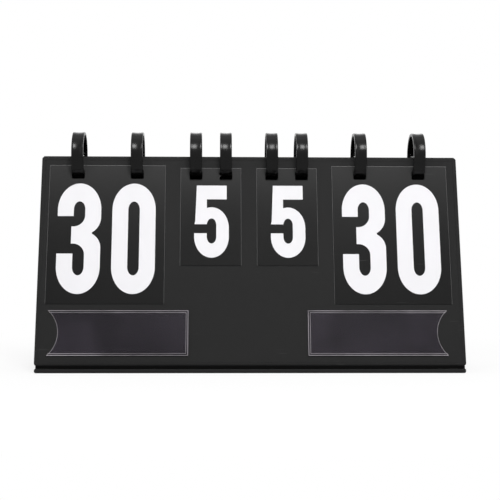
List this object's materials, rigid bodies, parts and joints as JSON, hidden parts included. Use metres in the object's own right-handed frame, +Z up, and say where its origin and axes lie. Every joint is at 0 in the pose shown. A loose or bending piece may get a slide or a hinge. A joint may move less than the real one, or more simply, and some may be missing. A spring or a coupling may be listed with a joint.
{
  "type": "tabletop flip scoreboard",
  "caption": "Folding tabletop scoreboard: black covered boards, number cards that flip over on plastic rings, clear name pockets and a flat base.",
  "frame": {"origin": "on the table under the middle of the base, straight below the ring axis", "axes": "+X along the board to the viewer's right, -Y toward the viewer, +Z up"},
  "size_m": [0.39, 0.1204, 0.2221],
  "materials": {
    "cover_vinyl": "fine leather-grain black vinyl, satin",
    "hinge_vinyl": "smooth black vinyl fold",
    "flap_vinyl": "fine-grained black vinyl with welded edges",
    "greyboard": "raw grey bookbinding board",
    "card_plastic": "fine matte charcoal card plastic",
    "white_print": "flat white screen print",
    "ring_plastic": "moulded black plastic, polished",
    "clear_vinyl": "clear flexible sheet, slightly wavy, welded at the border",
    "hook_tape": "stiff black hook tape",
    "loop_tape": "napped black loop tape"
  },
  "bodies": {
    "front_leaf": {"front_cover": "cover_vinyl", "front_board": "greyboard", "pocket_left": "clear_vinyl", "pocket_right": "clear_vinyl", "top_hinge": "hinge_vinyl", "front_hinge": "hinge_vinyl"},
    "back_leaf": {"back_cover": "cover_vinyl", "back_board": "greyboard", "loop_tape_left": "loop_tape", "loop_tape_middle": "loop_tape", "loop_tape_right": "loop_tape"},
    "base": {"base_cover": "cover_vinyl", "base_board": "greyboard", "rear_hinge": "hinge_vinyl"},
    "flap": {"flap": "flap_vinyl", "hook_tape_left": "hook_tape", "hook_tape_middle": "hook_tape", "hook_tape_right": "hook_tape"},
    "left_score_ring_left": {"left_score_arch_left": "ring_plastic"},
    "left_score_gate_left_body": {"left_score_gate_left": "ring_plastic"},
    "left_score_front_card_body": {"left_score_front_card": "card_plastic", "left_score_front_number": "white_print"},
    "left_score_pack_body": {"left_score_pack": "card_plastic", "left_score_pack_number": "white_print"},
    "left_score_ring_right": {"left_score_arch_right": "ring_plastic"},
    "left_score_gate_right_body": {"left_score_gate_right": "ring_plastic"},
    "left_score_rear_card_body": {"left_score_rear_card": "card_plastic", "left_score_rear_number": "white_print"},
    "left_sets_ring_left": {"left_sets_arch_left": "ring_plastic"},
    "left_sets_gate_left_body": {"left_sets_gate_left": "ring_plastic"},
    "left_sets_front_card_body": {"left_sets_front_card": "card_plastic", "left_sets_front_number": "white_print"},
    "left_sets_pack_body": {"left_sets_pack": "card_plastic", "left_sets_pack_number": "white_print"},
    "left_sets_ring_right": {"left_sets_arch_right": "ring_plastic"},
    "left_sets_gate_right_body": {"left_sets_gate_right": "ring_plastic"},
    "left_sets_rear_card_body": {"left_sets_rear_card": "card_plastic", "left_sets_rear_number": "white_print"},
    "right_sets_ring_left": {"right_sets_arch_left": "ring_plastic"},
    "right_sets_gate_left_body": {"right_sets_gate_left": "ring_plastic"},
    "right_sets_front_card_body": {"right_sets_front_card": "card_plastic", "right_sets_front_number": "white_print"},
    "right_sets_pack_body": {"right_sets_pack": "card_plastic", "right_sets_pack_number": "white_print"},
    "right_sets_ring_right": {"right_sets_arch_right": "ring_plastic"},
    "right_sets_gate_right_body": {"right_sets_gate_right": "ring_plastic"},
    "right_sets_rear_card_body": {"right_sets_rear_card": "card_plastic", "right_sets_rear_number": "white_print"},
    "right_score_ring_left": {"right_score_arch_left": "ring_plastic"},
    "right_score_gate_left_body": {"right_score_gate_left": "ring_plastic"},
    "right_score_front_card_body": {"right_score_front_card": "card_plastic", "right_score_front_number": "white_print"},
    "right_score_pack_body": {"right_score_pack": "card_plastic", "right_score_pack_number": "white_print"},
    "right_score_ring_right": {"right_score_arch_right": "ring_plastic"},
    "right_score_gate_right_body": {"right_score_gate_right": "ring_plastic"},
    "right_score_rear_card_body": {"right_score_rear_card": "card_plastic", "right_score_rear_number": "white_print"}
  },
  "joints": [
    {"name": "fold_flat", "type": "hinge", "parent": "front_leaf", "child": "back_leaf", "pos_m": [0, 0, 0.19878], "axis": [1, 0, 0], "range_deg": [-31, 0], "deforming": ["top_hinge"]},
    {"name": "base_swing", "type": "hinge", "parent": "front_leaf", "child": "base", "pos_m": [0, -0.05777, 0.0053], "axis": [1, 0, 0], "range_deg": [-105.5, 0], "deforming": ["front_hinge"]},
    {"name": "flap_open", "type": "hinge", "parent": "base", "child": "flap", "pos_m": [0, 0.06144, 0.0053], "axis": [1, 0, 0], "range_deg": [-105.5, 0], "deforming": ["rear_hinge"]},
    {"name": "left_score_show_turn", "type": "hinge", "parent": "front_leaf", "child": "left_score_ring_left", "pos_m": [-0.1606, 0, 0.19988], "axis": [-1, 0, 0], "range_deg": [0, 272.57]},
    {"name": "left_score_show_tilt", "type": "hinge", "parent": "left_score_ring_left", "child": "left_score_front_card_body", "pos_m": [-0.1331, -0.0103, 0.18192], "axis": [-1, 0, 0], "range_deg": [0, 56.43]},
    {"name": "left_score_gate_left_open", "type": "hinge", "parent": "left_score_ring_left", "child": "left_score_gate_left_body", "pos_m": [-0.1606, 0.02033, 0.20273], "axis": [1, 0, 0], "range_deg": [-70, 0]},
    {"name": "left_score_pack_lift", "type": "hinge", "parent": "back_leaf", "child": "left_score_pack_body", "pos_m": [-0.1331, 0, 0.19988], "axis": [1, 0, 0], "range_deg": [0, 164.5]},
    {"name": "left_score_return_turn", "type": "hinge", "parent": "left_score_pack_body", "child": "left_score_ring_right", "pos_m": [-0.1056, 0, 0.19988], "axis": [1, 0, 0], "range_deg": [0, 108.44]},
    {"name": "left_score_return_tilt", "type": "hinge", "parent": "left_score_ring_right", "child": "left_score_rear_card_body", "pos_m": [-0.1331, 0.01714, 0.18828], "axis": [1, 0, 0], "range_deg": [0, 56.06]},
    {"name": "left_score_gate_right_open", "type": "hinge", "parent": "left_score_ring_right", "child": "left_score_gate_right_body", "pos_m": [-0.1056, 0.02033, 0.20273], "axis": [1, 0, 0], "range_deg": [-70, 0]},
    {"name": "left_sets_show_turn", "type": "hinge", "parent": "front_leaf", "child": "left_sets_ring_left", "pos_m": [-0.0507, 0, 0.19988], "axis": [-1, 0, 0], "range_deg": [0, 295.26]},
    {"name": "left_sets_show_tilt", "type": "hinge", "parent": "left_sets_ring_left", "child": "left_sets_front_card_body", "pos_m": [-0.0367, -0.0103, 0.18192], "axis": [-1, 0, 0], "range_deg": [0, 33.74]},
    {"name": "left_sets_gate_left_open", "type": "hinge", "parent": "left_sets_ring_left", "child": "left_sets_gate_left_body", "pos_m": [-0.0507, 0.02033, 0.20273], "axis": [1, 0, 0], "range_deg": [-70, 0]},
    {"name": "left_sets_pack_lift", "type": "hinge", "parent": "back_leaf", "child": "left_sets_pack_body", "pos_m": [-0.0367, 0, 0.19988], "axis": [1, 0, 0], "range_deg": [0, 164.5]},
    {"name": "left_sets_return_turn", "type": "hinge", "parent": "left_sets_pack_body", "child": "left_sets_ring_right", "pos_m": [-0.0227, 0, 0.19988], "axis": [1, 0, 0], "range_deg": [0, 130.79]},
    {"name": "left_sets_return_tilt", "type": "hinge", "parent": "left_sets_ring_right", "child": "left_sets_rear_card_body", "pos_m": [-0.0367, 0.01145, 0.18263], "axis": [1, 0, 0], "range_deg": [0, 33.71]},
    {"name": "left_sets_gate_right_open", "type": "hinge", "parent": "left_sets_ring_right", "child": "left_sets_gate_right_body", "pos_m": [-0.0227, 0.02033, 0.20273], "axis": [1, 0, 0], "range_deg": [-70, 0]},
    {"name": "right_sets_show_turn", "type": "hinge", "parent": "front_leaf", "child": "right_sets_ring_left", "pos_m": [0.0203, 0, 0.19988], "axis": [-1, 0, 0], "range_deg": [0, 295.26]},
    {"name": "right_sets_show_tilt", "type": "hinge", "parent": "right_sets_ring_left", "child": "right_sets_front_card_body", "pos_m": [0.0343, -0.0103, 0.18192], "axis": [-1, 0, 0], "range_deg": [0, 33.74]},
    {"name": "right_sets_gate_left_open", "type": "hinge", "parent": "right_sets_ring_left", "child": "right_sets_gate_left_body", "pos_m": [0.0203, 0.02033, 0.20273], "axis": [1, 0, 0], "range_deg": [-70, 0]},
    {"name": "right_sets_pack_lift", "type": "hinge", "parent": "back_leaf", "child": "right_sets_pack_body", "pos_m": [0.0343, 0, 0.19988], "axis": [1, 0, 0], "range_deg": [0, 164.5]},
    {"name": "right_sets_return_turn", "type": "hinge", "parent": "right_sets_pack_body", "child": "right_sets_ring_right", "pos_m": [0.0483, 0, 0.19988], "axis": [1, 0, 0], "range_deg": [0, 130.79]},
    {"name": "right_sets_return_tilt", "type": "hinge", "parent": "right_sets_ring_right", "child": "right_sets_rear_card_body", "pos_m": [0.0343, 0.01145, 0.18263], "axis": [1, 0, 0], "range_deg": [0, 33.71]},
    {"name": "right_sets_gate_right_open", "type": "hinge", "parent": "right_sets_ring_right", "child": "right_sets_gate_right_body", "pos_m": [0.0483, 0.02033, 0.20273], "axis": [1, 0, 0], "range_deg": [-70, 0]},
    {"name": "right_score_show_turn", "type": "hinge", "parent": "front_leaf", "child": "right_score_ring_left", "pos_m": [0.1032, 0, 0.19988], "axis": [-1, 0, 0], "range_deg": [0, 272.57]},
    {"name": "right_score_show_tilt", "type": "hinge", "parent": "right_score_ring_left", "child": "right_score_front_card_body", "pos_m": [0.1307, -0.0103, 0.18192], "axis": [-1, 0, 0], "range_deg": [0, 56.43]},
    {"name": "right_score_gate_left_open", "type": "hinge", "parent": "right_score_ring_left", "child": "right_score_gate_left_body", "pos_m": [0.1032, 0.02033, 0.20273], "axis": [1, 0, 0], "range_deg": [-70, 0]},
    {"name": "right_score_pack_lift", "type": "hinge", "parent": "back_leaf", "child": "right_score_pack_body", "pos_m": [0.1307, 0, 0.19988], "axis": [1, 0, 0], "range_deg": [0, 164.5]},
    {"name": "right_score_return_turn", "type": "hinge", "parent": "right_score_pack_body", "child": "right_score_ring_right", "pos_m": [0.1582, 0, 0.19988], "axis": [1, 0, 0], "range_deg": [0, 108.44]},
    {"name": "right_score_return_tilt", "type": "hinge", "parent": "right_score_ring_right", "child": "right_score_rear_card_body", "pos_m": [0.1307, 0.01714, 0.18828], "axis": [1, 0, 0], "range_deg": [0, 56.06]},
    {"name": "right_score_gate_right_open", "type": "hinge", "parent": "right_score_ring_right", "child": "right_score_gate_right_body", "pos_m": [0.1582, 0.02033, 0.20273], "axis": [1, 0, 0], "range_deg": [-70, 0]}
  ],
  "couplings": [
    {"joint": "base_swing", "follows": "fold_flat", "ratio": 3.4032},
    {"joint": "flap_open", "follows": "fold_flat", "ratio": 3.4032},
    {"joint": "left_score_show_tilt", "follows": "left_score_show_turn", "ratio": 0.20702},
    {"joint": "left_score_return_tilt", "follows": "left_score_return_turn", "ratio": 0.51696},
    {"joint": "left_sets_show_tilt", "follows": "left_sets_show_turn", "ratio": 0.11427},
    {"joint": "left_sets_return_tilt", "follows": "left_sets_return_turn", "ratio": 0.25774},
    {"joint": "right_sets_show_tilt", "follows": "right_sets_show_turn", "ratio": 0.11427},
    {"joint": "right_sets_return_tilt", "follows": "right_sets_return_turn", "ratio": 0.25774},
    {"joint": "right_score_show_tilt", "follows": "right_score_show_turn", "ratio": 0.20702},
    {"joint": "right_score_return_tilt", "follows": "right_score_return_turn", "ratio": 0.51696}
  ]
}
